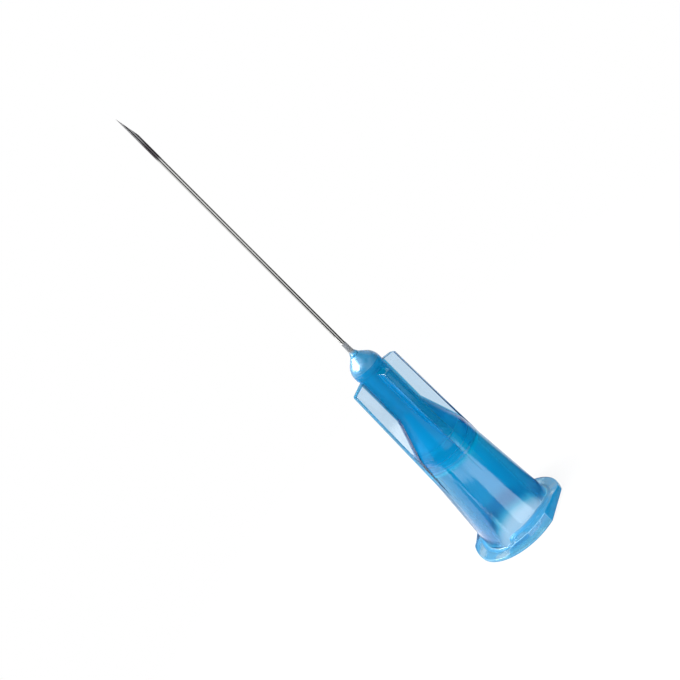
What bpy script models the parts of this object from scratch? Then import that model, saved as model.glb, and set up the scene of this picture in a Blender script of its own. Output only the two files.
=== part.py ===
"""Hypodermic needle: a clear plastic hub with a conical socket, a ground steel cannula and its bond.

It stands on the mouth of its socket. The mouth's centre is the origin, and +Z runs to the point.
"""

import math

import bmesh
import bpy
from mathutils import Matrix

# Every size below is in millimetres and every angle in degrees.
MM = 0.001
TURNED_STEPS = 72
FLANGE_STEPS = 144
ARC_STEP = 12.0

# Socket: a six per cent taper on its diameter, then the steps and the funnel above it.
SOCKET_MOUTH_RADIUS = 2.15
SOCKET_DEPTH = 7.5
SOCKET_TAPER = 0.06
MOUTH_CHAMFER = 0.10
LEDGE_WIDTH = 0.465
LEDGE_LENGTH = 0.48
STEP_WIDTH = 0.12
STEP_LENGTH = 1.04
FUNNEL_LIP = 0.18
FUNNEL_LENGTH = 1.53

# Tapered body round the socket, shoulder, neck and nose.
WALL_AT_MOUTH = 0.82
WALL_AT_TOP = 0.325
BODY_PAST_SOCKET = 1.34
SHOULDER_LENGTH = 3.35
SHOULDER_BLEND = 1.6
NECK_RADIUS = 1.145
NECK_LENGTH = 3.85
NECK_BLEND = 1.2
COLLAR_LIP = 0.042
COLLAR_LENGTH = 0.30
NOSE_ARC = 1.16
NOSE_ARC_END = 46.0
NOSE_RIM_WIDTH = 0.06
NOSE_RIM_ROUND = 0.05

# Flange at the mouth, a disc with two flats whose front face rises as a ramp on each side.
FLANGE_REACH = 0.93
FLANGE_THICKNESS = 0.88
FLANGE_THIN = 0.27
FLANGE_EDGE = 0.06
FLANGE_FILLET = 0.26
FLAT_DEPTH = 0.33
FLAT_DIRECTION = -62.5
FLAT_SHARPNESS = 60
LEAST_FLAT_COSINE = 0.1
# Angles from the middle of a flat, and the share of the full ramp height that is left there.
RAMP_ANGLES = (-23, 2, 22, 42, 62, 90, 97, 105, 112, 157)
RAMP_SHARES = (1.0, 0.70, 0.32, 0.08, 0.0, 0.0, 0.15, 0.85, 1.0, 1.0)

# Four fins round the neck.
FIN_THICKNESS = 0.64
FIN_DRAFT = 0.10
FIN_EDGE = 0.05
FIN_WIDTH = 1.075
FIN_TOP_GAP = 0.15
FIN_TOP_DROP = 0.25
FIN_CORNER = 0.34
FIN_FOOT_BELOW_BODY_TOP = 3.65
FIN_FOOT_SINK = 0.024

# Steel tube with its three ground faces.
TUBE_RADIUS = 0.17
TUBE_WALL = 0.075
TUBE_SIDES = 48
TUBE_INTO_FUNNEL = 0.85
TUBE_EXPOSED_LENGTH = 22.24
BEVEL_ANGLE = 10.9
BEVEL_DIRECTION = -20.5
SIDE_GRIND_TURN = 30.0
SIDE_GRIND_ANGLE = 14.7

# Bond between tube and hub, in a well in the nose.
BORE_CLEARANCE = 0.02
BOND_WIDTH = 0.19
WELL_DEPTH = 0.85
BOND_CLEARANCE = 0.005
BOND_SHOULDER = 0.08
BOND_HEIGHT = 1.14
BOND_SLEEVE = 0.020
BOND_FLARE = 0.016
BOND_FLARE_HEIGHT = 0.28
BOND_BLEND = 0.30
BOND_EDGE = 0.03

# What follows from the sizes above.
SPARE = 0.5
SOCKET_END_RADIUS = SOCKET_MOUTH_RADIUS - SOCKET_TAPER * SOCKET_DEPTH / 2
LEDGE_RADIUS = SOCKET_END_RADIUS - LEDGE_WIDTH
LEDGE_TOP = SOCKET_DEPTH + LEDGE_LENGTH
STEP_RADIUS = LEDGE_RADIUS - STEP_WIDTH
STEP_TOP = LEDGE_TOP + STEP_LENGTH
FUNNEL_RADIUS = STEP_RADIUS - FUNNEL_LIP
FUNNEL_TOP = STEP_TOP + FUNNEL_LENGTH
BORE_RADIUS = TUBE_RADIUS + BORE_CLEARANCE
WELL_RADIUS = TUBE_RADIUS + BOND_WIDTH
FOOT_RADIUS = SOCKET_MOUTH_RADIUS + WALL_AT_MOUTH
BODY_TOP_RADIUS = SOCKET_END_RADIUS + WALL_AT_TOP
BODY_TOP = SOCKET_DEPTH + BODY_PAST_SOCKET
NECK_START = BODY_TOP + SHOULDER_LENGTH
COLLAR_START = NECK_START + NECK_LENGTH
COLLAR_RADIUS = NECK_RADIUS + COLLAR_LIP
NOSE_START = COLLAR_START + COLLAR_LENGTH
NOSE_SLOPE = math.radians(NOSE_ARC_END)
NOSE_ARC_CENTRE = COLLAR_RADIUS - NOSE_ARC
NOSE_CONE_RADIUS = NOSE_ARC_CENTRE + NOSE_ARC * math.cos(NOSE_SLOPE)
NOSE_CONE_START = NOSE_START + NOSE_ARC * math.sin(NOSE_SLOPE)
NOSE_RIM_RADIUS = WELL_RADIUS + NOSE_RIM_WIDTH
NOSE_TOP = NOSE_CONE_START + (NOSE_CONE_RADIUS - NOSE_RIM_RADIUS) / math.tan(NOSE_SLOPE)
WELL_FLOOR = NOSE_TOP - WELL_DEPTH
FLANGE_RADIUS = FOOT_RADIUS + FLANGE_REACH
FIN_TOP = COLLAR_START - FIN_TOP_GAP
FIN_TOP_RADIUS = NECK_RADIUS + FIN_WIDTH
FIN_FOOT = BODY_TOP - FIN_FOOT_BELOW_BODY_TOP
TUBE_BORE_RADIUS = TUBE_RADIUS - TUBE_WALL
TUBE_START = FUNNEL_TOP - TUBE_INTO_FUNNEL
TUBE_POINT = NOSE_TOP + TUBE_EXPOSED_LENGTH


def collection(name):
    made = bpy.data.collections.new(name)
    bpy.context.scene.collection.children.link(made)
    return made


def add(name, mesh, where):
    made = bpy.data.objects.new(name, mesh)
    where.objects.link(made)
    return made


def helper(name, mesh, where):
    made = add(name, mesh, where)
    made.hide_render = True
    made.display_type = "WIRE"
    return made


def material(name, colour, roughness, metallic, transmission):
    made = bpy.data.materials.new(name)
    made.use_nodes = True
    shader = made.node_tree.nodes["Principled BSDF"]
    shader.inputs["Base Color"].default_value = (*colour, 1.0)
    shader.inputs["Roughness"].default_value = roughness
    shader.inputs["Metallic"].default_value = metallic
    shader.inputs["Transmission Weight"].default_value = transmission
    return made


def rounded(corners):
    """The points of an outline whose corners (across, up, fillet radius) are rounded by arcs."""
    points = []
    for index, (x, z, radius) in enumerate(corners):
        if not radius:
            points.append((x, z))
            continue
        before = corners[index - 1]
        after = corners[index + 1]
        back = math.atan2(before[1] - z, before[0] - x)
        ahead = math.atan2(after[1] - z, after[0] - x)
        opening = (ahead - back + math.pi) % math.tau - math.pi
        turn = math.pi - abs(opening)
        middle = back + opening / 2
        reach = radius / math.sin(abs(opening) / 2)
        centre = (x + reach * math.cos(middle), z + reach * math.sin(middle))
        steps = max(2, math.ceil(math.degrees(turn) / ARC_STEP))
        towards = middle + math.pi
        side = math.copysign(1.0, opening)
        for step in range(steps + 1):
            angle = towards + side * turn * (0.5 - step / steps)
            points.append((centre[0] + radius * math.cos(angle), centre[1] + radius * math.sin(angle)))
    return points


def outline_mesh(name, points):
    """An open line of edges in the XZ plane."""
    mesh = bpy.data.meshes.new(name)
    vertices = [(x * MM, 0.0, z * MM) for x, z in points]
    edges = [(index, index + 1) for index in range(len(points) - 1)]
    mesh.from_pydata(vertices, edges, [])
    return mesh


def turn(made, steps):
    screw = made.modifiers.new("turned", "SCREW")
    screw.axis = "Z"
    screw.steps = steps
    screw.render_steps = steps
    screw.use_merge_vertices = True
    screw.merge_threshold = 1e-7
    return screw


def combine(made, other, operation):
    boolean = made.modifiers.new(other.name, "BOOLEAN")
    boolean.operation = operation
    boolean.solver = "EXACT"
    boolean.object = other


def body_radius(height):
    """The outer radius of the tapered body at a height."""
    return FOOT_RADIUS + (BODY_TOP_RADIUS - FOOT_RADIUS) * height / BODY_TOP


def body_outline():
    """The outer side of the hub without its flange, from the nose down."""
    points = rounded(
        [
            (0.0, NOSE_TOP, 0.0),
            (NOSE_RIM_RADIUS, NOSE_TOP, NOSE_RIM_ROUND),
            (NOSE_CONE_RADIUS, NOSE_CONE_START, 0.0),
        ]
    )
    steps = 2 * math.ceil(NOSE_ARC_END / ARC_STEP)
    for step in range(1, steps + 1):
        angle = NOSE_SLOPE * (1 - step / steps)
        across = NOSE_ARC_CENTRE + NOSE_ARC * math.cos(angle)
        points.append((across, NOSE_START + NOSE_ARC * math.sin(angle)))
    plate_middle = FLANGE_THIN / 2
    points += rounded(
        [
            (COLLAR_RADIUS, COLLAR_START + COLLAR_LIP, 0.0),
            (NECK_RADIUS, COLLAR_START, 0.0),
            (NECK_RADIUS, NECK_START, NECK_BLEND),
            (BODY_TOP_RADIUS, BODY_TOP, SHOULDER_BLEND),
            (body_radius(plate_middle), plate_middle, 0.0),
            (0.0, plate_middle, 0.0),
        ]
    )
    return points


def cavity_outline():
    """The hollow of the hub, from above its nose down to below its mouth."""
    above_chamfer = SOCKET_MOUTH_RADIUS - SOCKET_TAPER * MOUTH_CHAMFER / 2
    mouth = SOCKET_MOUTH_RADIUS + MOUTH_CHAMFER
    step_round = STEP_WIDTH * 0.4
    return rounded(
        [
            (0.0, NOSE_TOP + SPARE, 0.0),
            (WELL_RADIUS, NOSE_TOP + SPARE, 0.0),
            (WELL_RADIUS, WELL_FLOOR, 0.0),
            (BORE_RADIUS, WELL_FLOOR, 0.0),
            (BORE_RADIUS, FUNNEL_TOP, BORE_RADIUS / 2),
            (FUNNEL_RADIUS, STEP_TOP, 0.0),
            (STEP_RADIUS, STEP_TOP, step_round),
            (STEP_RADIUS, LEDGE_TOP, 0.0),
            (LEDGE_RADIUS, LEDGE_TOP, step_round),
            (LEDGE_RADIUS, SOCKET_DEPTH, step_round),
            (SOCKET_END_RADIUS, SOCKET_DEPTH, LEDGE_WIDTH / 6),
            (above_chamfer, MOUTH_CHAMFER, 0.0),
            (mouth, 0.0, 0.0),
            (mouth, -SPARE, 0.0),
            (0.0, -SPARE, 0.0),
        ]
    )


def flange_radius(angle):
    """The disc's radius at an angle from the middle of a flat, with each corner a little rounded."""
    away = math.cos(math.radians(angle))
    flat = (FLANGE_RADIUS - FLAT_DEPTH) / max(abs(away), LEAST_FLAT_COSINE)
    power = -FLAT_SHARPNESS
    return (FLANGE_RADIUS**power + flat**power) ** (1 / power)


def flange_height(angle):
    """The ramp of the front face at an angle from the middle of a flat. It repeats every half turn."""
    angle = (angle - RAMP_ANGLES[0]) % 180 + RAMP_ANGLES[0]
    for index in range(len(RAMP_ANGLES) - 1):
        start, end = RAMP_ANGLES[index : index + 2]
        if angle <= end:
            share = (angle - start) / (end - start)
            low, high = RAMP_SHARES[index : index + 2]
            return FLANGE_THIN + (FLANGE_THICKNESS - FLANGE_THIN) * (low + (high - low) * share)
    return FLANGE_THICKNESS


def flange_section(angle):
    """The section from the middle of the rear face, round the rim and up the fillet to the axis."""
    rim = flange_radius(angle)
    top = flange_height(angle)
    foot = body_radius(top + FLANGE_FILLET)
    edge = min(FLANGE_EDGE, top / 4)
    section = [(rim - edge, 0.0), (rim, edge), (rim, top - edge), (rim - edge, top)]
    for degrees in (270, 245, 215, 180):
        turned = math.radians(degrees)
        across = foot + FLANGE_FILLET * (1 + math.cos(turned))
        section.append((across, top + FLANGE_FILLET * (1 + math.sin(turned))))
    return section


def flange_mesh(name):
    """The lofted disc with its two ramps."""
    made = bmesh.new()
    count = FLANGE_STEPS
    rings = []
    for index in range(count):
        angle = 360.0 * index / count
        turned = math.radians(angle + FLAT_DIRECTION)
        ring = []
        for across, up in flange_section(angle):
            place = (across * math.cos(turned) * MM, across * math.sin(turned) * MM, up * MM)
            ring.append(made.verts.new(place))
        rings.append(ring)
    bottom = made.verts.new((0.0, 0.0, 0.0))
    top = made.verts.new((0.0, 0.0, (FLANGE_THICKNESS + FLANGE_FILLET) * MM))
    for index in range(count):
        here = rings[index]
        ahead = rings[(index + 1) % count]
        made.faces.new((bottom, ahead[0], here[0]))
        for low in range(len(here) - 1):
            made.faces.new((here[low], ahead[low], ahead[low + 1], here[low + 1]))
        made.faces.new((here[-1], ahead[-1], top))
    mesh = bpy.data.meshes.new(name)
    made.to_mesh(mesh)
    made.free()
    return mesh


def fin_plate_mesh(name, turned):
    """Two opposite fins as one plate across the axis, thinner towards its outer edges."""
    foot_radius = body_radius(FIN_FOOT) - FIN_FOOT_SINK
    half = rounded(
        [
            (0.0, FIN_FOOT, 0.0),
            (foot_radius, FIN_FOOT, 0.0),
            (FIN_TOP_RADIUS, FIN_TOP - FIN_TOP_DROP, FIN_CORNER),
            (NECK_RADIUS, FIN_TOP, 0.0),
            (0.0, FIN_TOP, 0.0),
        ]
    )
    points = half[1:-1] + [(-x, z) for x, z in reversed(half[1:-1])]
    curve = bpy.data.curves.new(name, "CURVE")
    curve.dimensions = "2D"
    curve.fill_mode = "BOTH"
    curve.extrude = (FIN_THICKNESS / 2 - FIN_EDGE) * MM
    curve.bevel_depth = FIN_EDGE * MM
    curve.bevel_resolution = 1
    curve.offset = -FIN_EDGE * MM
    spline = curve.splines.new("POLY")
    spline.points.add(len(points) - 1)
    for point, (x, z) in zip(spline.points, points):
        point.co = (x * MM, z * MM, 0.0, 1.0)
    spline.use_cyclic_u = True
    drawn = bpy.data.objects.new(name, curve)
    mesh = bpy.data.meshes.new_from_object(drawn)
    bpy.data.objects.remove(drawn)
    made = bmesh.new()
    made.from_mesh(mesh)
    bmesh.ops.remove_doubles(made, verts=made.verts, dist=1e-8)
    for vertex in made.verts:
        share = 1 - abs(vertex.co.x) / (foot_radius * MM)
        vertex.co.z *= 1 + FIN_DRAFT * share
    bmesh.ops.transform(made, matrix=Matrix.Rotation(math.pi / 2, 4, "X"), verts=made.verts)
    bmesh.ops.transform(made, matrix=Matrix.Rotation(turned, 4, "Z"), verts=made.verts)
    bmesh.ops.recalc_face_normals(made, faces=made.faces)
    made.to_mesh(mesh)
    made.free()
    return mesh


def grind_mesh(name, turned, lean):
    """A block whose one face is a ground face through the point, turned about the tube."""
    made = bmesh.new()
    size = 8 * TUBE_RADIUS / math.tan(math.radians(BEVEL_ANGLE)) * MM
    bmesh.ops.create_cube(made, size=size)
    bmesh.ops.translate(made, vec=(size / 2, 0.0, 0.0), verts=made.verts)
    bmesh.ops.transform(made, matrix=Matrix.Rotation(-math.radians(lean), 4, "Y"), verts=made.verts)
    bmesh.ops.transform(made, matrix=Matrix.Rotation(math.radians(turned), 4, "Z"), verts=made.verts)
    facing = math.radians(BEVEL_DIRECTION)
    bmesh.ops.translate(made, vec=(-TUBE_RADIUS * MM, 0.0, 0.0), verts=made.verts)
    bmesh.ops.transform(made, matrix=Matrix.Rotation(facing, 4, "Z"), verts=made.verts)
    bmesh.ops.translate(made, vec=(0.0, 0.0, TUBE_POINT * MM), verts=made.verts)
    mesh = bpy.data.meshes.new(name)
    made.to_mesh(mesh)
    made.free()
    return mesh


def tube_outline():
    """The tube's wall as a closed loop, down its outer side and up its bore."""
    blank_end = TUBE_POINT + TUBE_RADIUS
    return [
        (TUBE_BORE_RADIUS, blank_end),
        (TUBE_RADIUS, blank_end),
        (TUBE_RADIUS, TUBE_START),
        (TUBE_BORE_RADIUS, TUBE_START),
        (TUBE_BORE_RADIUS, blank_end),
    ]


def bond_outline():
    """The bond, down its outer side and up along the tube."""
    inner = TUBE_RADIUS + BOND_CLEARANCE
    outer = WELL_RADIUS - BOND_CLEARANCE
    floor = WELL_FLOOR + BOND_CLEARANCE
    shoulder = NOSE_TOP + BOND_SHOULDER
    top = NOSE_TOP + BOND_HEIGHT
    sleeve = TUBE_RADIUS + BOND_SLEEVE
    return rounded(
        [
            (inner, top, 0.0),
            (inner + BOND_SLEEVE / 2, top, 0.0),
            (sleeve + BOND_FLARE / 2, (shoulder + top) / 2, 0.0),
            (sleeve + BOND_FLARE, shoulder + BOND_FLARE_HEIGHT, BOND_BLEND),
            (outer, shoulder, BOND_EDGE),
            (outer, floor, 0.0),
            (inner, floor, 0.0),
            (inner, top, 0.0),
        ]
    )


def weld_loop(mesh):
    """Joins the first and last point of a closed outline."""
    made = bmesh.new()
    made.from_mesh(mesh)
    bmesh.ops.remove_doubles(made, verts=made.verts, dist=1e-8)
    made.to_mesh(mesh)
    made.free()
    return mesh


for stale in list(bpy.data.objects):
    bpy.data.objects.remove(stale)

needle = collection("hypodermic_needle")
helpers = collection("helpers")

hub = add("hub", outline_mesh("hub", body_outline()), needle)
turn(hub, TURNED_STEPS)
combine(hub, helper("flange", flange_mesh("flange"), helpers), "UNION")
for plate, quarter in (("fins_x", 0.0), ("fins_y", math.pi / 2)):
    combine(hub, helper(plate, fin_plate_mesh(plate, quarter), helpers), "UNION")
cavity = helper("cavity", outline_mesh("cavity", cavity_outline()), helpers)
turn(cavity, TURNED_STEPS)
combine(hub, cavity, "DIFFERENCE")
hub.data.materials.append(material("hub_plastic", (0.01, 0.33, 0.66), 0.08, 0.0, 0.9))

cannula = add("cannula", weld_loop(outline_mesh("cannula", tube_outline())), needle)
turn(cannula, TUBE_SIDES)
grinds = (
    ("bevel", 0.0, BEVEL_ANGLE),
    ("side_grind_left", SIDE_GRIND_TURN, SIDE_GRIND_ANGLE),
    ("side_grind_right", -SIDE_GRIND_TURN, SIDE_GRIND_ANGLE),
)
for label, sideways, lean in grinds:
    combine(cannula, helper(label, grind_mesh(label, sideways, lean), helpers), "DIFFERENCE")
cannula.data.materials.append(material("tube_steel", (0.62, 0.62, 0.61), 0.18, 1.0, 0.0))

adhesive = add("adhesive", weld_loop(outline_mesh("adhesive", bond_outline())), needle)
turn(adhesive, TUBE_SIDES)
adhesive.data.materials.append(material("cured_resin", (0.55, 0.56, 0.57), 0.25, 0.0, 0.5))

for made in (hub, cannula, adhesive):
    made.data.polygons.foreach_set("use_smooth", [True] * len(made.data.polygons))
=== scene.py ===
"""Hypodermic needle, dressed: clear blue moulded hub, polished steel cannula and their resin bond."""

import math
from types import SimpleNamespace

import bpy
from mathutils import Matrix, Vector


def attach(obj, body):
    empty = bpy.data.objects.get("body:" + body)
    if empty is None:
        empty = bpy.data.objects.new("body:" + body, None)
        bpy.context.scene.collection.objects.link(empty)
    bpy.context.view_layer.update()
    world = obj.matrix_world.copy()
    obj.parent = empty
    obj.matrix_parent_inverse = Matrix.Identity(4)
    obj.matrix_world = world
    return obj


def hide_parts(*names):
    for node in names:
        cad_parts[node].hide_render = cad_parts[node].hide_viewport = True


# Every size below is in millimetres and every angle in degrees.
MM = 0.001

# How finely round things are divided.
HUB_SIDES = 192
FLANGE_SIDES = 288
TUBE_SIDES = 96
PANEL_SIDES = 180
ARC_STEP = 6.0
BLEND_ARC_STEP = 3.0
FILLET_ARC_STEP = 15.0
NOSE_ARC_STEPS = 16
BEVEL_STEPS = 3

# How near points count as one, or as lying on the rim, on a plane or at one height.
SAME_POINT = 0.001
CUT_NEAR = 0.0001
FLAT_MERGE = 0.03
RIM_BAND = 0.02
PLANE_BAND = 0.01
LEVEL_BAND = 0.1

# Which points of the flange are let down in its ramps, and how many of their angles go to a degree.
OFF_AXIS = 0.1
FRONT_ABOVE = 0.4
LEAST_DROP = 0.0001
BANDS_PER_DEGREE = 4

# How far an edge bends before it stays sharp.
SHARP_BEND = 32.0
RESIN_SHARP_BEND = 50.0

# Outer side of the hub, up from the mouth of its socket.
FOOT_START = 0.13
FOOT_RADIUS = 2.97
BODY_TOP_RADIUS = 2.25
BODY_TOP = 8.84
SHOULDER_BLEND = 1.6
NECK_RADIUS = 1.145
NECK_START = 12.19
NECK_BLEND = 1.2
COLLAR_START = 16.04
COLLAR_LIP = 0.042
COLLAR_RADIUS = 1.187
NOSE_START = 16.34
NOSE_ARC = 1.16
NOSE_ARC_END = 46.0
NOSE_RIM_RADIUS = 0.42
NOSE_RIM_ROUND = 0.05
NOSE_FACE_END = 0.2

# The hollow inside it. The socket narrows on each side by SOCKET_SLOPE of its depth.
SOCKET_MOUTH = 2.15
SOCKET_DEPTH = 7.5
SOCKET_SLOPE = 0.03
SOCKET_END = 1.925
MOUTH_CHAMFER = 0.10
LEDGE_RADIUS = 1.46
LEDGE_TOP = 7.98
STEP_RADIUS = 1.34
STEP_TOP = 9.02
FUNNEL_RADIUS = 1.16
FUNNEL_TOP = 10.55
BORE_RADIUS = 0.19
WELL_RADIUS = 0.36
WELL_DEPTH = 0.85
CUT_PAST = 0.5

# Flange. Its ramps are told by angles from the middle of a flat, and by the share of the height left there.
FLANGE_RADIUS = 3.89
FLANGE_THICKNESS = 0.88
FLANGE_THIN = 0.27
FLANGE_FILLET = 0.26
FLANGE_OVERLAP = 0.02
FLAT_DEPTH = 0.32
FLAT_REACH = FLANGE_RADIUS - FLAT_DEPTH
FLAT_DIRECTION = -62.5
RAMP_ANGLES = (-23, 2, 22, 42, 62, 90, 97, 105, 112, 157)
RAMP_SHARES = (1.0, 0.70, 0.32, 0.08, 0.0, 0.0, 0.15, 0.85, 1.0, 1.0)
EDGE_BEVEL = 0.05

# Fins.
FIN_THICKNESS = 0.64
FIN_EDGE_THICKNESS = 0.60
FIN_REACH = 2.22
FIN_TOP = 15.89
FIN_TOP_DROP = 0.25
FIN_CORNER = 0.34
FIN_CORNER_SHARE = 0.42
FIN_CORNER_STEPS = 8
FIN_FOOT = 5.19
FIN_FOOT_REACH = 2.53
FIN_OUTER = 2.0

# Cannula. The bevel is ground first, and then a steeper facet on each side of it.
TUBE_RADIUS = 0.17
TUBE_BORE = 0.095
TUBE_START = 9.7
TUBE_CHAMFER = 0.02
TUBE_POINT = 39.81
GROUND_OFF = 0.2
STONE_SIZE = 14.0
BEVEL_ANGLE = 10.9
BEVEL_DIRECTION = -20.5
SIDE_GRIND_ANGLE = 14.7
SIDE_GRIND_TURN = 30.0

# Resin: its gap to what it bonds, then how far out from the tube and how far up from the nose it goes.
BOND_GAP = 0.005
BOND_SHOULDER_RISE = 0.08
BOND_FLARE_REACH = 0.036
BOND_FLARE_RISE = 0.36
BOND_SLEEVE_REACH = 0.028
BOND_SLEEVE_RISE = 0.61
BOND_END_REACH = 0.015
BOND_END_RISE = 1.14

# Colours of the plastic: its clear tint by place, its milky skin by place, and what its depth takes off.
BODY_TINT = (0.06, 0.68, 0.86)
SHOULDER_TINT = (0.02, 0.73, 0.87)
NECK_TINT = (0.01, 0.60, 0.80)
# FOOT_HIGHLIGHT_TINT is a painted highlight: it paints the foot pale where a soft bell-shaped highlight
# lies.
FOOT_HIGHLIGHT_TINT = (0.85, 0.92, 0.98)
FIN_TINT = (1.0, 0.97, 0.98)
FLANGE_TINT = (0.27, 0.58, 0.82)
# FLANGE_MOTTLE_AND_SHADE_TINT is the flange's mottle and, along the fillet, painted shade in the crease.
FLANGE_MOTTLE_AND_SHADE_TINT = (0.06, 0.42, 0.72)
RIM_TINT = (0.12, 0.62, 0.86)
NECK_MILK = (0.0, 0.23, 0.50)
CORE_MILK = (0.0, 0.90, 0.95)
# LEDGE_PAINTED_HIGHLIGHT is a painted highlight: near-white on the inner ledges, for bright arcs.
LEDGE_PAINTED_HIGHLIGHT = (0.95, 1.00, 1.00)
FLANGE_MILK = (0.04, 0.26, 0.50)
# FOOT_HIGHLIGHT_HAZE is a painted highlight: a whitish haze laid over the outer side of the foot.
FOOT_HIGHLIGHT_HAZE = (0.30, 0.60, 0.84)
EDGE_MILK = (0.0, 0.29, 0.50)
NOSE_MILK = (0.02, 0.25, 0.47)
DEPTH_TINT = (0.0, 0.54, 0.84)
DEPTH_DENSITY = 800.0
PLASTIC_IOR = 1.49

# Where the plastic changes: the heights between which each change happens.
SOLID_FROM = (7.1, 7.3)
CONE_CLOUDS = (8.5, 9.7)
NECK_DEEPENS = (9.8, 11.6)
NOSE_PALES = (NOSE_START + 0.10, NOSE_START + 0.18)
FIN_FROM = (1.2, 1.6)
# FOOT_HIGHLIGHT_FADES and FOOT_HIGHLIGHT_ARCH place the painted highlight at the foot, reaching higher
# where the side faces the eye.
FOOT_HIGHLIGHT_FADES = (1.9, 2.9)
FOOT_HIGHLIGHT_ARCH = 4.0
FLANGE_ENDS = (1.0, 1.3)
FILLET_ENDS = (1.05, 1.16)
RIM_FOOT = (0.05, 0.14)

# The same across the hub: inwards or outwards from its outer side, or out from its middle.
WALL_BAND = (0.1, 0.2)
FIN_BAND = (0.02, 0.12)
FLANGE_BAND = (0.02, 0.2)
FILLET_BAND = (0.005, 0.04)
FILLET_REACH = (3.15, 3.3)
RIM_REACH = (FLANGE_RADIUS - 0.06, FLANGE_RADIUS - 0.02)
FLAT_BAND = (FLAT_REACH - 0.06, FLAT_REACH - 0.02)
LIP_REACH = (FLANGE_RADIUS - 0.08, FLANGE_RADIUS - 0.04)
FIN_EDGE_BAND = (-0.05, -0.01)

# The same by how level a face lies, and by how much it turns away from the eye.
LEDGE_LEVEL = (0.7, 0.9)
LIP_RISES = (0.15, 0.35)
LIP_LEVELS_OUT = (0.88, 0.96)
FIN_GRAZED = (0.4, 0.6)
MOTTLE_EDGES = (0.36, 0.56)

# How much of the milky skin shows, from 0 for clear to 1 for opaque.
HAZE = 0.03
FLOW_HAZE = 0.04
CONE_CLOUD = 0.6
SIDE_CLOUD = 0.85
EDGE_CLOUD = 0.3
GRAZED_CLOUD = 0.45
# FOOT_HIGHLIGHT_HAZE_SHARE is the share of the painted highlight haze at the foot.
FOOT_HIGHLIGHT_HAZE_SHARE = 0.14
MOTTLE_CLOUD = 0.55
# FILLET_SHADE_SHARE is the share of painted shade along the fillet.
FILLET_SHADE_SHARE = 0.85
# LEDGE_HIGHLIGHT_SHARE is the share of the painted highlight on the inner ledges.
LEDGE_HIGHLIGHT_SHARE = 0.95
LIP_CLOUD = 0.6

# Steel, drawn, then darker and duller over DARK_POINT_FROM and darkest at the heel of the bevel, down from
# the point.
DRAWN_STEEL = (0.62, 0.62, 0.61)
DARK_POINT_STEEL = (0.27, 0.27, 0.28)
HEEL_STEEL = (0.11, 0.10, 0.11)
DARK_POINT_FROM = (TUBE_POINT - 3.9, TUBE_POINT - 3.4)
HEEL_TO = (TUBE_POINT - 2.7, TUBE_POINT - 1.9)

# Resin, blue at the nose and grey above CLIMB over it.
RESIN_AT_NOSE = (0.05, 0.36, 0.62)
RESIN_THIN = (0.24, 0.26, 0.28)
RESIN_THICK = (0.36, 0.38, 0.41)
CLIMB = (0.15, 0.45)

# Camera: its azimuth, and its tilt, distance, drop and rise worked out from the photograph's perspective.
VIEW_AZIMUTH = -110.5
VIEW_TILT = 14.1
VIEW_DEPTH = 79.86
VIEW_DROP = 18.29
VIEW_RISE = 0.19
VIEW_FOCAL_PIXELS = 1100.0
FRAME_PIXELS = 680
SENSOR_WIDTH = 36.0
NEAREST_SEEN = 5.0

# Floor and world. The floor turns from a share of pure white near the needle to all of it further out.
FLOOR_SIZE = 6000.0
FLOOR_GREYS = ((0.86, 0.86, 0.86), (0.89, 0.89, 0.89))
FLOOR_WHITE_NEAR = 5.0
FLOOR_WHITE_FAR = 50.0
FLOOR_WHITE_LEAST = 0.84
WORLD_FILL = 0.35
WHITE = (1.0, 1.0, 1.0)

# Lamps: name, azimuth, elevation, distance, width, height and radiance. Azimuth 0 is the camera's side
# and 90 its right, and the lamps face AIM_HEIGHT on the needle's axis.
AIM_HEIGHT = 15.0
SOFTBOXES = (
    ("front_softbox", -10, 40, 180, 90, 90, 1.2),
    ("overhead_softbox", -65, 60, 200, 170, 170, 7.0),
    ("left_softbox", -100, 25, 220, 120, 160, 3.4),
    ("right_softbox", 62, 25, 220, 120, 160, 2.2),
)

# Sectors on the table that only reflections see: name, azimuths, inner and outer radius, and radiance.
PANEL_LIFT = 0.02
TABLE_PANELS = (
    ("front_panel", -6, 38, 4.9, 35.3, 4.5),
    ("left_panel", -125, -66, 4.9, 35.3, 2.3),
    ("middle_panel", -66, -6, 28, 35.3, 3.5),
    ("near_shade", -66, -6, 4.3, 28, 0.5),
    ("right_shade", 38, 128, 4.3, 35.3, 0.02),
    ("ring_shade", -120, 128, 35.3, 62, 0.02),
    ("nose_panel", -120, -66, 62, 68, 8.0),
    ("middle_shade", -66, 128, 62, 68, 0.02),
    ("left_shade", -66, -6, 68, 205, 0.02),
    ("far_shade", 38, 128, 68, 205, 0.02),
)

# Cards that only reflections see, with the same values as the lamps.
CARDS = (
    ("right_card", 83, 8, 200, 340, 160, 0.05),
    ("left_card", -38, 8, 200, 190, 160, 0.05),
    ("upper_card", -92, 46, 150, 170, 100, 22.0),
    ("upper_shade", 62, 55, 150, 190, 110, 0.05),
)


# Small tools of the bench.


def clear_selection():
    if bpy.context.object and bpy.context.object.mode != "OBJECT":
        bpy.ops.object.mode_set(mode="OBJECT")
    bpy.ops.object.select_all(action="DESELECT")


def pick(piece):
    """Makes a piece the only one that is selected."""
    clear_selection()
    piece.select_set(True)
    bpy.context.view_layer.objects.active = piece


def settle(piece, name):
    """Gives a finished piece its name, and puts its place into its mesh."""
    pick(piece)
    bpy.ops.object.transform_apply(location=True, rotation=True, scale=True)
    piece.name = name
    piece.data.name = name
    return piece


def edit(piece, mode):
    """Opens a piece for editing, with nothing of it selected."""
    pick(piece)
    bpy.ops.object.mode_set(mode="EDIT")
    bpy.ops.mesh.select_mode(type=mode)
    bpy.ops.mesh.select_all(action="DESELECT")


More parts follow.
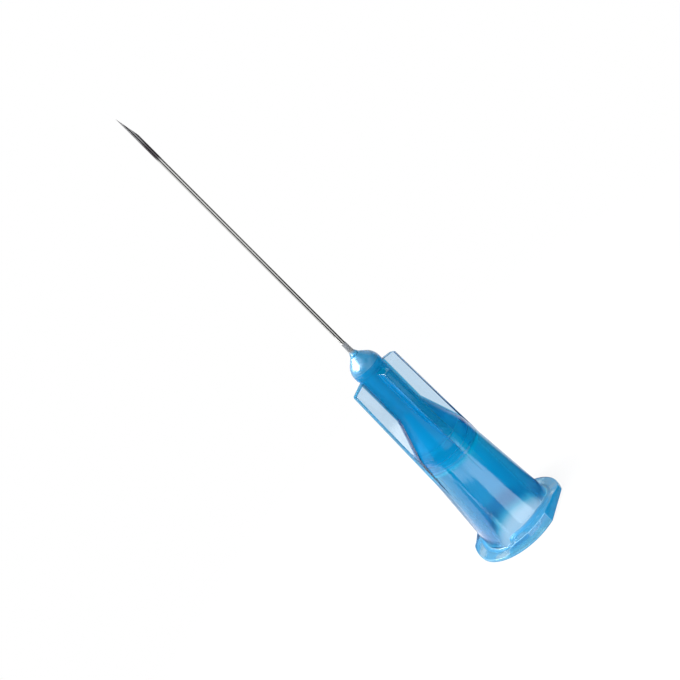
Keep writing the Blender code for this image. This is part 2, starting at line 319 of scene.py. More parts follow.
def choose(piece, kind, wanted):
    """Selects the vertices, edges or faces that are wanted, while the piece is in edit mode."""
    bpy.ops.object.mode_set(mode="OBJECT")
    mesh = piece.data
    for part in (mesh.vertices, mesh.edges, mesh.polygons):
        part.foreach_set("select", [False] * len(part))
    for part in getattr(mesh, kind):
        part.select = bool(wanted(part))
    bpy.ops.object.mode_set(mode="EDIT")


def done_editing():
    bpy.ops.object.mode_set(mode="OBJECT")


def bevel(piece, wanted, width, steps):
    """Rounds the wanted edges of a piece."""
    edit(piece, "EDGE")
    choose(piece, "edges", wanted)
    bpy.ops.mesh.bevel(offset=width * MM, segments=steps, affect="EDGES")
    done_editing()


def rounded(corners, arc_step=ARC_STEP):
    """An outline whose corners (across, up, fillet radius) are rounded by arcs."""
    points = []
    for index, (x, z, radius) in enumerate(corners):
        if not radius:
            points.append((x, z))
            continue
        before, after = corners[index - 1], corners[index + 1]
        back = math.atan2(before[1] - z, before[0] - x)
        ahead = math.atan2(after[1] - z, after[0] - x)
        opening = (ahead - back + math.pi) % math.tau - math.pi
        turn = math.pi - abs(opening)
        middle = back + opening / 2
        reach = radius / math.sin(abs(opening) / 2)
        centre = (x + reach * math.cos(middle), z + reach * math.sin(middle))
        steps = max(2, math.ceil(math.degrees(turn) / arc_step))
        side = math.copysign(1.0, opening)
        for step in range(steps + 1):
            angle = middle + math.pi + side * turn * (0.5 - step / steps)
            points.append((centre[0] + radius * math.cos(angle), centre[1] + radius * math.sin(angle)))
    return points


def turned(name, outline, sides, loop=False):
    """A turned piece. A ring is drawn out from each point of the outline to the next, as on a lathe."""
    clear_selection()
    radius, height = outline[0]
    bpy.ops.mesh.primitive_circle_add(
        vertices=sides,
        radius=radius * MM,
        fill_type="NOTHING" if loop else "TRIFAN",
        location=(0, 0, height * MM),
    )
    piece = bpy.context.object
    bpy.ops.object.transform_apply(location=True, rotation=True, scale=True)
    edit(piece, "VERT")
    half_way_out = radius * MM / 2
    choose(piece, "vertices", lambda vertex: vertex.co.xy.length > half_way_out)
    for across, up in outline[1:]:
        bpy.ops.mesh.extrude_region_move(TRANSFORM_OT_translate={"value": (0, 0, (up - height) * MM)})
        share = across / radius
        bpy.ops.transform.resize(value=(share, share, 1), center_override=(0, 0, up * MM))
        radius, height = across, up
    if not loop:
        bpy.ops.mesh.merge(type="CENTER")
    bpy.ops.mesh.select_all(action="SELECT")
    bpy.ops.mesh.remove_doubles(threshold=SAME_POINT * MM)
    bpy.ops.mesh.normals_make_consistent(inside=False)
    done_editing()
    piece.name = name
    return piece


def unite(piece, tool, operation="UNION"):
    """Joins a piece with another solid, or cuts that solid out of it."""
    clear_selection()
    change = piece.modifiers.new(tool.name, "BOOLEAN")
    change.operation = operation
    change.solver = "MANIFOLD"
    change.object = tool
    bpy.context.view_layer.objects.active = piece
    bpy.ops.object.modifier_apply(modifier=change.name)
    bpy.data.objects.remove(tool)


def smooth(piece, degrees):
    """Smooths a piece over, except at edges that bend by more than these degrees."""
    pick(piece)
    bpy.ops.object.shade_smooth_by_angle(angle=math.radians(degrees), keep_sharp_edges=False)


# The hub.


def body_radius(height):
    return FOOT_RADIUS + (BODY_TOP_RADIUS - FOOT_RADIUS) * height / BODY_TOP


def nose_height():
    end = math.radians(NOSE_ARC_END)
    cone_radius = COLLAR_RADIUS - NOSE_ARC + NOSE_ARC * math.cos(end)
    return NOSE_START + NOSE_ARC * math.sin(end) + (cone_radius - NOSE_RIM_RADIUS) / math.tan(end)


def body_outline():
    """From the foot up to the nose."""
    corners = [
        (body_radius(FOOT_START), FOOT_START, 0.0),
        (BODY_TOP_RADIUS, BODY_TOP, SHOULDER_BLEND),
        (NECK_RADIUS, NECK_START, NECK_BLEND),
        (NECK_RADIUS, COLLAR_START, 0.0),
        (COLLAR_RADIUS, COLLAR_START + COLLAR_LIP, 0.0),
    ]
    points = rounded(corners, BLEND_ARC_STEP)
    end = math.radians(NOSE_ARC_END)
    for step in range(NOSE_ARC_STEPS + 1):
        angle = end * step / NOSE_ARC_STEPS
        across = COLLAR_RADIUS - NOSE_ARC + NOSE_ARC * math.cos(angle)
        points.append((across, NOSE_START + NOSE_ARC * math.sin(angle)))
    top = nose_height()
    rim = [points[-1] + (0.0,), (NOSE_RIM_RADIUS, top, NOSE_RIM_ROUND), (NOSE_FACE_END, top, 0.0)]
    return points + rounded(rim)[1:]


def cavity_outline():
    """From below the mouth up to above the nose."""
    top = nose_height()
    return rounded(
        [
            (SOCKET_MOUTH + MOUTH_CHAMFER, -CUT_PAST, 0.0),
            (SOCKET_MOUTH + MOUTH_CHAMFER, 0.0, 0.0),
            (SOCKET_MOUTH - SOCKET_SLOPE * MOUTH_CHAMFER, MOUTH_CHAMFER, 0.04),
            (SOCKET_END, SOCKET_DEPTH, 0.34),
            (LEDGE_RADIUS, SOCKET_DEPTH, 0.10),
            (LEDGE_RADIUS, LEDGE_TOP, 0.06),
            (STEP_RADIUS, LEDGE_TOP, 0.05),
            (STEP_RADIUS, STEP_TOP, 0.12),
            (FUNNEL_RADIUS, STEP_TOP, 0.04),
            (BORE_RADIUS, FUNNEL_TOP, 0.10),
            (BORE_RADIUS, top - WELL_DEPTH, 0.0),
            (WELL_RADIUS, top - WELL_DEPTH, 0.04),
            (WELL_RADIUS, top + CUT_PAST, 0.0),
        ]
    )


def ramp_drop(angle):
    """How far the flange's front face lies below its full height, at an angle from the middle of a flat."""
    angle = (angle - RAMP_ANGLES[0]) % 180 + RAMP_ANGLES[0]
    index = next(index for index, end in enumerate(RAMP_ANGLES[1:]) if angle <= end)
    start, end = RAMP_ANGLES[index : index + 2]
    low, high = RAMP_SHARES[index : index + 2]
    share = (angle - start) / (end - start)
    share = share * share * (3 - 2 * share)
    return (FLANGE_THICKNESS - FLANGE_THIN) * (1 - low - (high - low) * share)


def cut_flats(flange, facings):
    """Cuts both flats and makes one of the points that the cuts leave close together."""
    edit(flange, "VERT")
    for facing in facings:
        bpy.ops.mesh.select_all(action="SELECT")
        bpy.ops.mesh.bisect(
            plane_co=facing * (FLAT_REACH * MM),
            plane_no=facing,
            use_fill=True,
            clear_outer=True,
            threshold=CUT_NEAR * MM,
        )
    bpy.ops.mesh.select_all(action="SELECT")
    bpy.ops.mesh.remove_doubles(threshold=FLAT_MERGE * MM)
    done_editing()


def bevel_flange(flange, facings):
    """Bevels the edges round both faces, and the upright ones where a flat meets the rim."""

    def on_rim(place):
        return place.xy.length > (FLANGE_RADIUS - RIM_BAND) * MM

    def on_flat(place):
        return any(abs(place.dot(facing) - FLAT_REACH * MM) < PLANE_BAND * MM for facing in facings)

    def is_corner(edge):
        first, second = [flange.data.vertices[end].co for end in edge.vertices]
        if not all(on_rim(place) or on_flat(place) for place in (first, second)):
            return False
        upright = abs(first.z - second.z) > LEVEL_BAND * MM
        return not upright or (on_flat(first) and on_rim(first))

    bevel(flange, is_corner, EDGE_BEVEL, BEVEL_STEPS)


def let_down_ramps(flange):
    """Moves the points of the front face down, one angle round the axis after another."""
    bands = {}
    for vertex in flange.data.vertices:
        if vertex.co.z > FRONT_ABOVE * MM and vertex.co.xy.length > OFF_AXIS * MM:
            angle = math.degrees(math.atan2(vertex.co.y, vertex.co.x))
            band = round(angle * BANDS_PER_DEGREE) / BANDS_PER_DEGREE
            bands.setdefault(band, set()).add(vertex.index)
    edit(flange, "VERT")
    for band, members in sorted(bands.items()):
        drop = ramp_drop(band - FLAT_DIRECTION)
        if drop > LEAST_DROP:
            choose(flange, "vertices", lambda vertex: vertex.index in members)
            bpy.ops.transform.translate(value=(0, 0, -drop * MM))
    done_editing()


def make_flange():
    """A turned disc with a filleted foot, two flats cut off it, and ramps let down in its front face."""
    foot = body_radius(FLANGE_THICKNESS + FLANGE_FILLET)
    corners = [
        (FLANGE_RADIUS, 0.0, 0.0),
        (FLANGE_RADIUS, FLANGE_THICKNESS, 0.0),
        (foot, FLANGE_THICKNESS, FLANGE_FILLET),
        (foot, FLANGE_THICKNESS + FLANGE_FILLET + FLANGE_OVERLAP, 0.0),
    ]
    flange = turned("flange", rounded(corners, FILLET_ARC_STEP), FLANGE_SIDES)
    ways = [math.radians(FLAT_DIRECTION + turn) for turn in (0, 180)]
    facings = [Vector((math.cos(way), math.sin(way), 0)) for way in ways]
    cut_flats(flange, facings)
    bevel_flange(flange, facings)
    let_down_ramps(flange)
    return flange


def make_fin_plate(name):
    """Two opposite fins as one plate across the axis, tapered, rounded at the top and thin at its edges."""
    clear_selection()
    foot, top = FIN_FOOT * MM, (FIN_TOP - FIN_TOP_DROP) * MM
    bpy.ops.mesh.primitive_cube_add(size=1, location=(0, 0, (foot + top) / 2))
    plate = bpy.context.object
    plate.scale = (2 * FIN_FOOT_REACH * MM, FIN_THICKNESS * MM, top - foot)
    bpy.ops.object.transform_apply(location=True, rotation=True, scale=True)

    def at_top(place):
        return place.z > top - SAME_POINT * MM

    def at_foot(place):
        return place.z < foot + SAME_POINT * MM

    def far_out(place):
        return abs(place.x) > FIN_OUTER * MM

    def in_neck(place):
        return abs(place.x) < (NECK_RADIUS + PLANE_BAND) * MM

    def ends(edge):
        return [plate.data.vertices[end].co for end in edge.vertices]

    def is_top_corner(edge):
        return all(far_out(end) and at_top(end) for end in ends(edge))

    def is_border(edge):
        first, second = ends(edge)
        outer = all(far_out(end) or at_top(end) or at_foot(end) for end in (first, second))
        return outer and first.y * second.y > 0

    edit(plate, "VERT")
    choose(plate, "vertices", lambda vertex: at_top(vertex.co))
    bpy.ops.transform.resize(value=(FIN_REACH / FIN_FOOT_REACH, 1, 1), center_override=(0, 0, top))
    bpy.ops.mesh.select_all(action="SELECT")
    thin = FIN_EDGE_THICKNESS / FIN_THICKNESS
    bpy.ops.transform.resize(value=(1, thin, 1), center_override=(0, 0, 0))
    for side in (-1, 1):
        cut = (side * NECK_RADIUS * MM, 0, 0)
        bpy.ops.mesh.select_all(action="SELECT")
        bpy.ops.mesh.bisect(plane_co=cut, plane_no=(1, 0, 0), threshold=CUT_NEAR * MM)
    choose(plate, "vertices", lambda vertex: in_neck(vertex.co))
    bpy.ops.transform.resize(value=(1, 1 / thin, 1), center_override=(0, 0, 0))
    choose(plate, "vertices", lambda vertex: in_neck(vertex.co) and at_top(vertex.co))
    bpy.ops.transform.translate(value=(0, 0, FIN_TOP_DROP * MM))
    bevel(plate, is_top_corner, FIN_CORNER * FIN_CORNER_SHARE, FIN_CORNER_STEPS)
    bevel(plate, is_border, EDGE_BEVEL, BEVEL_STEPS)
    plate.name = name
    return plate


def make_hub():
    hub = turned("hub", body_outline(), HUB_SIDES)
    unite(hub, make_flange())
    unite(hub, make_fin_plate("fins_across"))
    along = make_fin_plate("fins_along")
    along.rotation_euler = (0, 0, math.pi / 2)
    unite(hub, settle(along, "fins_along"))
    unite(hub, turned("cavity", cavity_outline(), HUB_SIDES), "DIFFERENCE")
    smooth(hub, SHARP_BEND)
    return settle(hub, "moulded_hub")


# The cannula.


def make_stone(sideways, lean):
    """A block for grinding. One face of it passes through the point, turned and leaning as asked."""
    clear_selection()
    size = STONE_SIZE * MM
    bpy.ops.mesh.primitive_cube_add(size=size, location=(size / 2, 0, 0))
    stone = bpy.context.object
    bpy.ops.object.transform_apply(location=True, rotation=True, scale=True)
    place = Matrix.Translation((0, 0, TUBE_POINT * MM))
    place @= Matrix.Rotation(math.radians(BEVEL_DIRECTION), 4, "Z")
    place @= Matrix.Translation((-TUBE_RADIUS * MM, 0, 0))
    place @= Matrix.Rotation(math.radians(sideways), 4, "Z")
    place @= Matrix.Rotation(-math.radians(lean), 4, "Y")
    stone.matrix_world = place
    return settle(stone, "stone")


def make_cannula():
    """A drawn tube, ground three times to its point."""
    end = TUBE_POINT + GROUND_OFF
    outline = [
        (TUBE_RADIUS, TUBE_START + TUBE_CHAMFER),
        (TUBE_RADIUS, end),
        (TUBE_BORE, end),
        (TUBE_BORE, TUBE_START + TUBE_CHAMFER),
        (TUBE_BORE + TUBE_CHAMFER, TUBE_START),
        (TUBE_RADIUS - TUBE_CHAMFER, TUBE_START),
        (TUBE_RADIUS, TUBE_START + TUBE_CHAMFER),
    ]
    tube = turned("ground_cannula", outline, TUBE_SIDES, loop=True)
    unite(tube, make_stone(0.0, BEVEL_ANGLE), "DIFFERENCE")
    for sideways in (SIDE_GRIND_TURN, -SIDE_GRIND_TURN):
        unite(tube, make_stone(sideways, SIDE_GRIND_ANGLE), "DIFFERENCE")
    smooth(tube, SHARP_BEND)
    return settle(tube, "ground_cannula")


# The bond.


def make_bond():
    """The resin in the nose: a plug in the well that climbs the tube as a thin sleeve."""
    top = nose_height()
    bottom = top - WELL_DEPTH + BOND_GAP
    inner = TUBE_RADIUS + BOND_GAP
    outer = WELL_RADIUS - BOND_GAP
    outline = rounded(
        [
            (inner, bottom, 0.0),
            (outer, bottom, 0.0),
            (outer, top + BOND_SHOULDER_RISE, 0.03),
            (TUBE_RADIUS + BOND_FLARE_REACH, top + BOND_FLARE_RISE, 0.30),
            (TUBE_RADIUS + BOND_SLEEVE_REACH, top + BOND_SLEEVE_RISE, 0.0),
            (TUBE_RADIUS + BOND_END_REACH, top + BOND_END_RISE, 0.0),
            (inner, top + BOND_END_RISE, 0.0),
            (inner, bottom, 0.0),
        ]
    )
    bond = turned("resin_bond", outline, TUBE_SIDES, loop=True)
    smooth(bond, RESIN_SHARP_BEND)
    return settle(bond, "resin_bond")


# Finishes.


class Field:
    """A value that changes over a surface, with plain arithmetic on it."""

    def __init__(self, finish, socket):
        self.finish = finish
        self.socket = socket

    def maths(self, operation, first, second):
        return self.finish.node("ShaderNodeMath", {"operation": operation}, {0: first, 1: second})

    def __add__(self, other):
        return self.maths("ADD", self, other)

    def __radd__(self, other):
        return self.maths("ADD", other, self)

    def __sub__(self, other):
        return self.maths("SUBTRACT", self, other)

    def __rsub__(self, other):
        return self.maths("SUBTRACT", other, self)

    def __mul__(self, other):
        return self.maths("MULTIPLY", self, other)

    def __rmul__(self, other):
        return self.maths("MULTIPLY", other, self)


class Finish:
    """A material, or the world, under construction."""

    def __init__(self, owner):
        owner.use_nodes = True
        self.owner = owner
        self.tree = owner.node_tree
        self.tree.nodes.clear()

    def put(self, socket, value):
        """Links a field to a socket, or sets a plain value."""
        if isinstance(value, Field):
            self.tree.links.new(value.socket, socket)
        elif isinstance(value, tuple) and len(value) == 3 and len(socket.default_value) == 4:
            socket.default_value = (*value, 1.0)
        else:
            socket.default_value = value

    def node(self, kind, settings=None, values=None, output=0):
        """Adds a node, with its settings first, and gives one of its outputs."""
        made = self.tree.nodes.new(kind)
        for key, value in (settings or {}).items():
            setattr(made, key, value)
        for key, value in (values or {}).items():
            self.put(made.inputs[key], value)
        return Field(self, made.outputs[output])

    def outputs(self, kind, keys, values=None):
        """Adds a node and gives several of its outputs."""
        made = self.node(kind, None, values).socket.node
        return [Field(self, made.outputs[key]) for key in keys]

    def place(self, stretch=(1.0, 1.0, 1.0)):
        """Object coordinates in millimetres, stretched."""
        here = self.node("ShaderNodeTexCoord", output=3)
        scale = tuple(value / MM for value in stretch)
        return self.node("ShaderNodeMapping", None, {0: here, "Scale": scale})

    def axis_parts(self, where):
        return self.outputs("ShaderNodeSeparateXYZ", (0, 1, 2), {0: where})

    def noise(self, where, scale, detail=2.0):
        return self.node("ShaderNodeTexNoise", None, {"Vector": where, "Scale": scale, "Detail": detail})

    def root(self, value):
        return self.node("ShaderNodeMath", {"operation": "SQRT"}, {0: value})

    def size(self, value):
        return self.node("ShaderNodeMath", {"operation": "ABSOLUTE"}, {0: value})

    def least(self, first, second):
        return self.node("ShaderNodeMath", {"operation": "MINIMUM"}, {0: first, 1: second})

    def most(self, first, *others):
        for other in others:
            first = self.node("ShaderNodeMath", {"operation": "MAXIMUM"}, {0: first, 1: other})
        return first

    def between(self, value, low, high, out_low=0.0, out_high=1.0):
        """Passes smoothly from one value to another while the first goes from low to high."""
        values = {0: value, 1: low, 2: high, 3: out_low, 4: out_high}
        return self.node("ShaderNodeMapRange", {"interpolation_type": "SMOOTHSTEP"}, values)

    def outside(self, value, low, high):
        """1 below low, and 0 above high."""
        return 1.0 - self.between(value, low, high)

    def mixed(self, share, first, second):
        """One colour passing into another."""
        return self.node("ShaderNodeMix", {"data_type": "RGBA"}, {0: share, 6: first, 7: second}, 2)

    def layered(self, colour, *layers):
        """A colour with others laid over it, each by its own share."""
        for share, over in layers:
            colour = self.mixed(share, colour, over)
        return colour

    def bump(self, height, strength, depth):
        """Depth is in millimetres."""
        values = {"Height": height, "Strength": strength, "Distance": depth * MM}
        return self.node("ShaderNodeBump", None, values)

    def done(self, surface, volume=None):
        """Joins the surface, and the volume if there is one, to the output."""
        is_world = isinstance(self.owner, bpy.types.World)
        out = self.tree.nodes.new("ShaderNodeOutputWorld" if is_world else "ShaderNodeOutputMaterial")
        self.tree.links.new(surface.socket, out.inputs["Surface"])
        if volume:
            self.tree.links.new(volume.socket, out.inputs["Volume"])
        return self.owner


def new_finish(name):
    return Finish(bpy.data.materials.new(name))


def hub_outline(finish, height):
    """The radius of the hub's turned outer side at a height."""
    body = FOOT_RADIUS - height * ((FOOT_RADIUS - BODY_TOP_RADIUS) / BODY_TOP)
    shoulder_taper = (BODY_TOP_RADIUS - NECK_RADIUS) / (NECK_START - BODY_TOP)
    shoulder = BODY_TOP_RADIUS - (height - BODY_TOP) * shoulder_taper
    return finish.least(body, finish.most(shoulder, COLLAR_RADIUS))


def fin_edges(finish, at):
    """1 on the outer ends and the tops of the fins."""
    spread = finish.most(finish.size(at.across), finish.size(at.along))
    taper = (FIN_FOOT_REACH - FIN_REACH) / (FIN_TOP - FIN_TOP_DROP - FIN_FOOT)
    end = FIN_FOOT_REACH - (at.height - FIN_FOOT) * taper
    top = FIN_TOP - (spread - NECK_RADIUS) * (FIN_TOP_DROP / (FIN_REACH - NECK_RADIUS))
    ends = finish.between(spread - end, *FIN_EDGE_BAND)
    return finish.most(ends, finish.between(at.height - top, *FIN_EDGE_BAND))


def mark_moulding(finish, at):
    """Marks the parts of the body, neck and fins, each by a share from 0 to 1."""
    at.solid = finish.between(at.height, *SOLID_FROM)
    at.cone = finish.between(at.height, *CONE_CLOUDS)
    at.neck = finish.between(at.height, *NECK_DEEPENS)
    at.nose = finish.between(at.height, *NOSE_PALES)
    at.inside = finish.between(at.outline - at.radius, *WALL_BAND)
    # Painted highlight: the level inner ledges are marked to be painted near-white.
    at.ledge = finish.between(at.level, *LEDGE_LEVEL) * at.inside * at.solid
    at.fin = finish.between(at.radius - at.outline, *FIN_BAND) * finish.between(at.height, *FIN_FROM)
    at.edge = at.fin * fin_edges(finish, at)
    at.grazed = at.fin * finish.between(at.slant, *FIN_GRAZED)
    # Painted highlight: the foot is marked pale up to a bell-shaped arch, and its outer side gets a whitish
    # haze.
    at.foot = finish.outside(at.height + FOOT_HIGHLIGHT_ARCH * at.slant, *FOOT_HIGHLIGHT_FADES)
    at.frost = at.foot * (1.0 - at.inside)


def mark_flange(finish, at):
    """Marks the parts of the flange in the same way."""
    beyond = at.radius - at.outline
    low = finish.outside(at.height, *FLANGE_ENDS)
    at.flange = finish.between(beyond, *FLANGE_BAND) * low
    # The fillet is marked for painted shade in its crease, and for a rougher surface.
    at.fillet = finish.between(beyond, *FILLET_BAND) * finish.outside(at.radius, *FILLET_REACH)
    at.fillet = at.fillet * finish.outside(at.height, *FILLET_ENDS)
    at.mottle = finish.between(finish.noise(at.where, 0.8, 3.0), *MOTTLE_EDGES)
    way = math.radians(FLAT_DIRECTION)
    to_flat = finish.size(at.across * math.cos(way) + at.along * math.sin(way))
    flat_side = finish.between(to_flat, *FLAT_BAND) * at.flange
    at.rim = finish.most(finish.between(at.radius, *RIM_REACH), flat_side)
    at.side = finish.most(flat_side, at.rim * finish.outside(at.height, *RIM_FOOT))
    at.lip = finish.between(at.radius, *LIP_REACH) * finish.between(at.level, *LIP_RISES)
    at.lip = at.lip * finish.outside(at.level, *LIP_LEVELS_OUT) * low


def places_on_hub(finish):
    """Where a point of the hub lies, and what part of the moulding it belongs to."""
    at = SimpleNamespace(where=finish.place())
    at.across, at.along, at.height = finish.axis_parts(at.where)
    at.radius = finish.root(at.across * at.across + at.along * at.along)
    at.outline = hub_outline(finish, at.height)
    at.level = finish.size(finish.axis_parts(finish.node("ShaderNodeNewGeometry", output=1))[2])
    at.slant = finish.node("ShaderNodeLayerWeight", None, {0: 0.5}, 1)
    mark_moulding(finish, at)
    mark_flange(finish, at)
    return at


def clear_tint(finish, at):
    # Deeper blue in the mottle, and painted shade along the fillet.
    flange_tint = finish.mixed(finish.most(at.mottle, at.fillet), FLANGE_TINT, FLANGE_MOTTLE_AND_SHADE_TINT)
    return finish.layered(
        BODY_TINT,
        (at.solid, SHOULDER_TINT),
        (at.neck, NECK_TINT),
        # The foot's pale tint is a painted highlight.
        (at.foot, FOOT_HIGHLIGHT_TINT),
        (at.fin, FIN_TINT),
        (at.flange, flange_tint),
        (at.rim, RIM_TINT),
    )


def milk_colour(finish, at):
    top_of_flange = at.flange * (1.0 - at.side) * (1.0 - at.lip)
    return finish.layered(
        NECK_MILK,
        (at.inside, CORE_MILK),
        # Painted highlight haze at the foot.
        (at.frost, FOOT_HIGHLIGHT_HAZE),
        (at.side, NECK_MILK),
        # Painted highlights on the inner ledges.
        (at.ledge, LEDGE_PAINTED_HIGHLIGHT),
        # The fillet's deep milky blue is painted shade.
        (finish.most(top_of_flange, at.fillet), FLANGE_MILK),
        (at.edge, EDGE_MILK),
        (at.nose, NOSE_MILK),
    )


def milkiness(finish, at, flow):
    """How much of the milky skin shows."""
    cone = at.solid * (1.0 - at.fin) * finish.most(at.inside, at.cone)
    hazy = HAZE + FLOW_HAZE * flow + finish.most(
        CONE_CLOUD * cone,
        SIDE_CLOUD * at.side,
        EDGE_CLOUD * at.edge,
        GRAZED_CLOUD * at.grazed,
    )
    return finish.most(
        hazy,
        # Painted highlight haze at the foot.
        FOOT_HIGHLIGHT_HAZE_SHARE * at.frost * (1.0 - at.flange),
        MOTTLE_CLOUD * at.mottle * at.flange,
        # Painted shade along the fillet.
        FILLET_SHADE_SHARE * at.fillet,
        # Painted highlights on the inner ledges.
        LEDGE_HIGHLIGHT_SHARE * at.ledge,
        LIP_CLOUD * at.lip,
    )


def clear_blue_plastic():
    """Blue-tinted clear moulding, deep and a little milky where thick, pale in fins and flange, with
    painted light: a highlight at the foot, white highlights on the inner ledges and shade along the fillet.
    """
    finish = new_finish("clear_blue_plastic")
    at = places_on_hub(finish)
    flow = finish.noise(finish.place((1.0, 1.0, 0.25)), 1.4, 3.0)
    orange_peel = finish.noise(at.where, 9.0)
    normal = finish.bump(0.6 * flow + 0.4 * orange_peel, 0.25, 0.004)
    clear_values = {
        "Base Color": clear_tint(finish, at),
        "Roughness": 0.055 + 0.05 * flow + 0.25 * at.nose + 0.3 * at.fillet + 0.22 * at.inside,
        "IOR": PLASTIC_IOR,
        "Transmission Weight": 1.0,
        "Normal": normal,
    }
    milk_values = {
        "Base Color": milk_colour(finish, at),
        "Roughness": 0.25 + 0.15 * at.nose,
        "IOR": PLASTIC_IOR,
        "Specular IOR Level": 0.1,
        "Coat Weight": at.nose,
        "Coat Roughness": 0.25,
        "Coat IOR": 1.8,
        "Normal": normal,
    }
    clear = finish.node("ShaderNodeBsdfPrincipled", None, clear_values)
    milk = finish.node("ShaderNodeBsdfPrincipled", None, milk_values)
    skin = finish.node("ShaderNodeMixShader", None, {0: milkiness(finish, at, flow), 1: clear, 2: milk})
    taken_off = {"Color": DEPTH_TINT, "Density": DEPTH_DENSITY}
    return finish.done(skin, finish.node("ShaderNodeVolumeAbsorption", None, taken_off))


def polished_steel():
    """Drawn tube with fine lines along it, darker and duller near its point."""
    finish = new_finish("polished_steel")
    height = finish.axis_parts(finish.place())[2]
    drawn = finish.noise(finish.place((1.0, 1.0, 0.02)), 26.0, 4.0)
    scratches = finish.noise(finish.place((0.3, 0.3, 1.0)), 30.0)
    # Darker and duller from DARK_POINT_FROM up to the point, darkest between it and HEEL_TO.
    ground = finish.between(height, *DARK_POINT_FROM)
    heel = ground * finish.outside(height, *HEEL_TO)
    values = {
        "Base Color": finish.layered(DRAWN_STEEL, (ground, DARK_POINT_STEEL), (heel, HEEL_STEEL)),
        "Metallic": 1.0,
        "Roughness": 0.10 + 0.10 * drawn + 0.12 * ground * scratches,
        "Normal": finish.bump(drawn, 0.2, 0.002),
    }
    return finish.done(finish.node("ShaderNodeBsdfPrincipled", None, values))


def cured_resin():
    """Cured resin, clear and grey up the tube, with the blue of the nose showing where it starts."""
    finish = new_finish("cured_resin")
    where = finish.place()
    cloud = finish.noise(where, 6.0)
    rise = finish.axis_parts(where)[2] - nose_height()
    grey = finish.mixed(cloud, RESIN_THIN, RESIN_THICK)
    values = {
        "Base Color": finish.mixed(finish.between(rise, *CLIMB), RESIN_AT_NOSE, grey),
        "Roughness": 0.22 + 0.12 * cloud,
        "IOR": 1.52,
        "Transmission Weight": 0.45,
        "Normal": finish.bump(cloud, 0.3, 0.01),
    }
    return finish.done(finish.node("ShaderNodeBsdfPrincipled", None, values))


# The studio.


def seen_directly(finish):
    """1 for what the camera, a reflection or a clear part shows, and 0 for what lights the scene."""
    rays = ("Is Camera Ray", "Is Glossy Ray", "Is Transmission Ray")
    camera, glossy, passing = finish.outputs("ShaderNodeLightPath", rays)
    return finish.node("ShaderNodeClamp", None, {0: camera + glossy + passing})


def white_floor():
    """White as the photograph's background, and just grey enough round the foot to keep a shadow."""
    finish = new_finish("white_floor")
    where = finish.place()
    across, along, _ = finish.axis_parts(where)
    distance = finish.root(across * across + along * along)
    grey = finish.mixed(finish.noise(where, 0.05), *FLOOR_GREYS)
    matt = finish.node("ShaderNodeBsdfDiffuse", None, {0: grey})
    glow = finish.node("ShaderNodeEmission", None, {0: WHITE, 1: 1.0})
    whiter = finish.between(distance, FLOOR_WHITE_NEAR, FLOOR_WHITE_FAR, FLOOR_WHITE_LEAST, 1.0)
    share = seen_directly(finish) * whiter
    return finish.done(finish.node("ShaderNodeMixShader", None, {0: share, 1: matt, 2: glow}))


def make_floor():
    clear_selection()
    bpy.ops.mesh.primitive_plane_add(size=FLOOR_SIZE * MM, location=(0, 0, 0))
    floor = bpy.context.object
    bpy.ops.object.mode_set(mode="EDIT")
    bpy.ops.mesh.subdivide(number_cuts=3)
    bpy.ops.object.mode_set(mode="OBJECT")
    floor.name = "floor"
    floor.data.materials.append(white_floor())


def light_world():
    """Plain white wherever it is seen, and a soft fill where it only lights."""
    world = bpy.data.worlds.new("white_room")
    bpy.context.scene.world = world
    finish = Finish(world)
    strength = WORLD_FILL + (1.0 - WORLD_FILL) * seen_directly(finish)
    finish.done(finish.node("ShaderNodeBackground", None, {0: WHITE, 1: strength}))


def around(azimuth, elevation, distance):
    """A place seen from the needle's middle."""
    turned_by = math.radians(VIEW_AZIMUTH + azimuth)
    lift = math.radians(elevation)
    flat = math.cos(lift) * distance
    reach = Vector((math.cos(turned_by) * flat, math.sin(turned_by) * flat, math.sin(lift) * distance))
    return (Vector((0, 0, AIM_HEIGHT)) + reach) * MM


def facing_needle(place):
    return (Vector((0, 0, AIM_HEIGHT * MM)) - place).to_track_quat("-Z", "Y").to_euler()


def make_softbox(name, azimuth, elevation, distance, width, height, radiance):
    """A lamp that lights the scene and isn't seen in it."""
    lamp = bpy.data.lights.new(name, "AREA")
    lamp.shape = "RECTANGLE"
    lamp.size = width * MM
    lamp.size_y = height * MM
    lamp.energy = radiance * math.pi * width * height * MM * MM
    softbox = bpy.data.objects.new(name, lamp)
    bpy.context.scene.collection.objects.link(softbox)
    softbox.location = around(azimuth, elevation, distance)
    softbox.rotation_euler = facing_needle(softbox.location)
    softbox.visible_camera = False
    softbox.visible_glossy = False


def glow_finish(name, radiance):
    finish = new_finish(name)
    dimmer = radiance * 0.96
    shade = finish.mixed(finish.noise(finish.place(), 0.02), (radiance,) * 3, (dimmer,) * 3)
    return finish.done(finish.node("ShaderNodeEmission", None, {0: shade, 1: 1.0}))


def show_only_in_reflections(piece, radiance):
    piece.data.materials.append(glow_finish(piece.name, radiance))
    for ray in ("camera", "diffuse", "transmission", "shadow", "volume_scatter"):
        setattr(piece, "visible_" + ray, False)


def make_card(name, azimuth, elevation, distance, width, height, radiance):
    """An upright card, bright or dark."""
    clear_selection()
    place = around(azimuth, elevation, distance)
    bpy.ops.mesh.primitive_plane_add(size=1, location=place, rotation=facing_needle(place))
    card = bpy.context.object
    card.scale = (width * MM, height * MM, 1)
    settle(card, name)
    show_only_in_reflections(card, radiance)


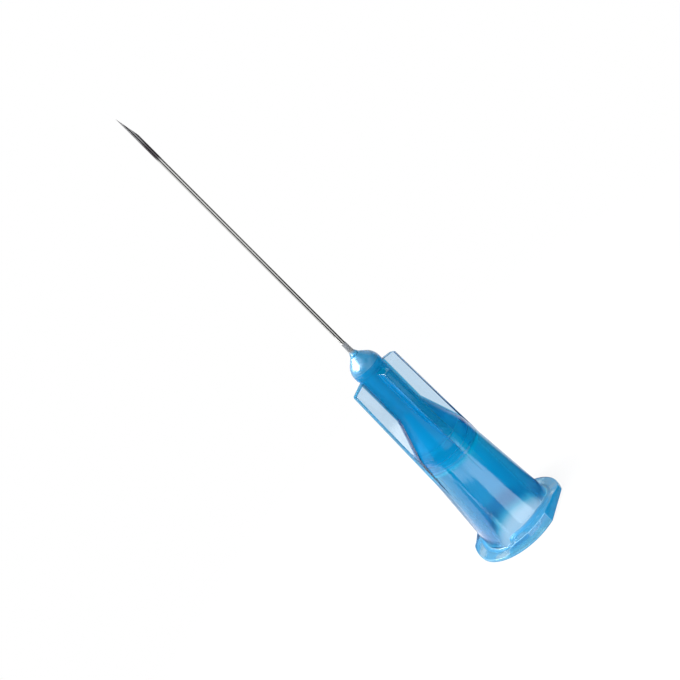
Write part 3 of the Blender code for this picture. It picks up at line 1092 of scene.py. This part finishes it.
def make_table_panel(name, start, end, near, far, radiance):
    """A sector of a ring that lies on the table round the needle, bright or dark."""
    clear_selection()
    place = (0, 0, PANEL_LIFT * MM)
    bpy.ops.mesh.primitive_circle_add(vertices=PANEL_SIDES, radius=near * MM, location=place)
    panel = bpy.context.object
    settle(panel, name)
    edit(panel, "VERT")
    bpy.ops.mesh.select_all(action="SELECT")
    bpy.ops.mesh.extrude_region_move()
    bpy.ops.transform.resize(value=(far / near, far / near, 1), center_override=(0, 0, 0))
    middle = math.radians(VIEW_AZIMUTH + (start + end) / 2)
    facing = Vector((math.cos(middle), math.sin(middle)))
    limit = math.cos(math.radians((end - start) / 2))
    edit(panel, "FACE")
    choose(panel, "polygons", lambda face: face.center.xy.normalized().dot(facing) < limit)
    bpy.ops.mesh.delete(type="FACE")
    done_editing()
    show_only_in_reflections(panel, radiance)


def place_camera():
    """Rolled by 45 degrees, because the needle lies aslant in the photograph and stands upright here."""
    tilt = math.radians(VIEW_TILT)
    side = math.radians(VIEW_AZIMUTH)
    towards = Vector((math.cos(side), math.sin(side), 0))
    right = Vector((-towards.y, towards.x, 0))
    up = Vector((0, 0, 1))
    inward = -math.cos(tilt) * towards - math.sin(tilt) * up
    down = math.sin(tilt) * towards - math.cos(tilt) * up
    place = (VIEW_RISE * up - VIEW_DEPTH * inward - VIEW_DROP * down) * MM
    across = (down + right).normalized()
    upward = (right - down).normalized()
    lens = bpy.data.cameras.new("camera")
    lens.sensor_width = SENSOR_WIDTH
    lens.lens = VIEW_FOCAL_PIXELS / FRAME_PIXELS * SENSOR_WIDTH
    lens.clip_start = NEAREST_SEEN * MM
    camera = bpy.data.objects.new("camera", lens)
    bpy.context.scene.collection.objects.link(camera)
    turn = Matrix((across, upward, -inward)).transposed().to_4x4()
    camera.matrix_world = Matrix.Translation(place) @ turn
    bpy.context.scene.camera = camera


# Everything put together.


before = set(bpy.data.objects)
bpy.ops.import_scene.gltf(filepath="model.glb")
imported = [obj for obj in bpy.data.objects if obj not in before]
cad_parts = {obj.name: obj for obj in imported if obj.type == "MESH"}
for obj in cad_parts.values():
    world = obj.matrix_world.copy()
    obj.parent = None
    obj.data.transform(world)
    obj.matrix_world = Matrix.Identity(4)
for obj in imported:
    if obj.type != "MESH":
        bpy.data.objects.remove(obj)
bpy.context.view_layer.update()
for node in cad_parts.values():
    node.select_set(False)

pieces = (
    (make_hub(), "hub", "hub_plastic", clear_blue_plastic()),
    (make_cannula(), "cannula", "tube_steel", polished_steel()),
    (make_bond(), "adhesive", "cured_resin", cured_resin()),
)
for piece, node, slot, material in pieces:
    piece.data.materials.clear()
    piece.data.materials.append(material)
    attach(piece, "root")
    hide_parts(node)

make_floor()
light_world()
for values in SOFTBOXES:
    make_softbox(*values)
for values in TABLE_PANELS:
    make_table_panel(*values)
for values in CARDS:
    make_card(*values)
place_camera()
bpy.context.scene.view_settings.view_transform = "Standard"
